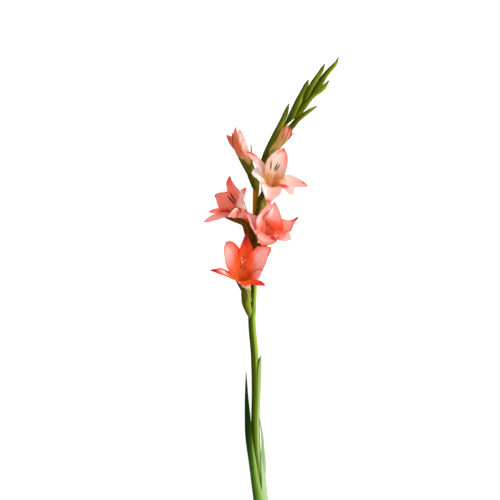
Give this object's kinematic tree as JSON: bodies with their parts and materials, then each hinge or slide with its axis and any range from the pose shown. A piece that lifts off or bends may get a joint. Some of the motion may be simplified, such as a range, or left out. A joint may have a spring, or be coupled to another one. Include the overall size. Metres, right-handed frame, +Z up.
{
  "type": "gladiolus flower stem",
  "caption": "Cut flower spike lying on its back: slim curved stem with clasping leaves, open funnel blooms in coral and blush, half-open buds and a tapering tip of green buds.",
  "frame": {"origin": "middle of the bounding box in plan, on the surface that the stem lies on", "axes": "+Y along the stem to the tip of the spike, +Z up from the surface, on the side that the blooms face, +X to the right seen from above"},
  "size_m": [0.1876, 0.6946, 0.0845],
  "materials": {
    "stem": "fresh green, olive on the shaded side, slightly waxy",
    "sheath": "pale green, thin and satin",
    "leaf_pale": "light green with long parallel veins, satin",
    "leaf_dark": "dark green with parallel veins, tan dry tip",
    "petal_coral": "coral, paler towards the middle, red margins and orange throat, satin",
    "petal_blush": "blush white with coral margins and an ochre throat, satin",
    "stamen": "dark purple-brown anthers on pale threads, matte",
    "bract": "olive green to brown, parallel veins, satin",
    "bud": "olive to yellow green, parallel veins, satin"
  },
  "bodies": {
    "root": {"stem": "stem", "stem_sheath": "sheath", "leaf_right": "leaf_pale", "leaf_left": "leaf_dark", "petals_1": "petal_coral", "petals_2": "petal_coral", "petals_3": "petal_coral", "petals_4": "petal_blush", "petals_5": "petal_coral", "petals_6": "petal_coral", "stamens_1": "stamen", "stamens_2": "stamen", "stamens_3": "stamen", "stamens_4": "stamen", "spathe_1": "bract", "spathe_2": "bract", "spathe_3": "bract", "spathe_4": "bract", "spathe_5": "bract", "spathe_6": "bract", "bud_1": "bud", "bud_2": "bud", "bud_3": "bud", "bud_4": "bud", "bud_5": "bud", "bud_6": "bud"}
  },
  "joints": []
}
